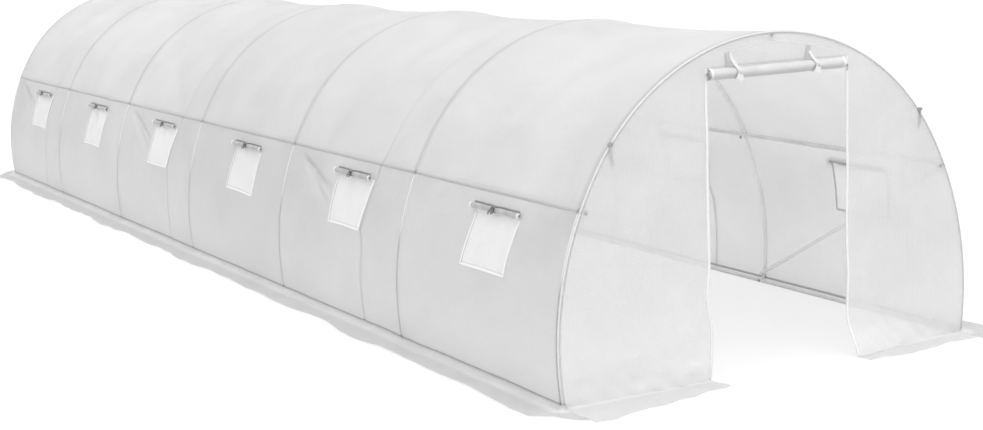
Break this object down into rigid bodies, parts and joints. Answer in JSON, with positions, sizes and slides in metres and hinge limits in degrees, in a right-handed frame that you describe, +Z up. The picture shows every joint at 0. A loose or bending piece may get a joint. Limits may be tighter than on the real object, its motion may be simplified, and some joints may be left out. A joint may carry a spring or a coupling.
{
  "type": "polytunnel greenhouse",
  "caption": "Long walk-in growing tunnel: bent steel tube arches under a translucent film cover, with rolled-up end doors, screened side windows and ground flaps.",
  "frame": {"origin": "ground level, in the middle of the tunnel's footprint", "axes": "+Z up; +Y along the tunnel towards its rear end; the front door looks towards -Y; +X to the right of someone facing the front door"},
  "size_m": [3.5066, 12.56, 2],
  "materials": {
    "tube": "pale satin powder coat over steel",
    "cover_film": "translucent white film with a fine woven reinforcing grid",
    "end_film": "translucent white film with a fine woven reinforcing grid",
    "ground_film": "creased translucent film lying on the ground",
    "rolled_film": "many layers of rolled film",
    "screen_mesh": "fine white insect mesh",
    "window_flap": "rolled film flap",
    "zip_tape": "white zip tape",
    "tie_strap": "grey woven tape"
  },
  "bodies": {
    "root": {"arch_1": "tube", "arch_2": "tube", "arch_3": "tube", "arch_4": "tube", "arch_5": "tube", "arch_6": "tube", "arch_7": "tube", "ridge_purlin": "tube", "left_purlin": "tube", "right_purlin": "tube", "left_ground_rail": "tube", "right_ground_rail": "tube", "front_left_brace": "tube", "front_right_brace": "tube", "rear_left_brace": "tube", "rear_right_brace": "tube", "left_lower_wall": "cover_film", "left_window_wall": "cover_film", "left_shoulder": "cover_film", "left_lower_roof": "cover_film", "left_upper_roof": "cover_film", "right_lower_wall": "cover_film", "right_window_wall": "cover_film", "right_shoulder": "cover_film", "right_lower_roof": "cover_film", "right_upper_roof": "cover_film", "left_skirt": "ground_film", "right_skirt": "ground_film", "front_flaps": "ground_film", "rear_flaps": "ground_film", "front_left_panel": "end_film", "front_right_panel": "end_film", "front_door_head": "end_film", "rear_left_panel": "end_film", "rear_right_panel": "end_film", "rear_door_head": "end_film", "front_door_roll": "rolled_film", "rear_door_roll": "rolled_film", "door_zips": "zip_tape", "door_ties": "tie_strap", "left_window_screens": "screen_mesh", "right_window_screens": "screen_mesh", "left_window_rolls": "window_flap", "right_window_rolls": "window_flap", "window_ties": "tie_strap"}
  },
  "joints": []
}
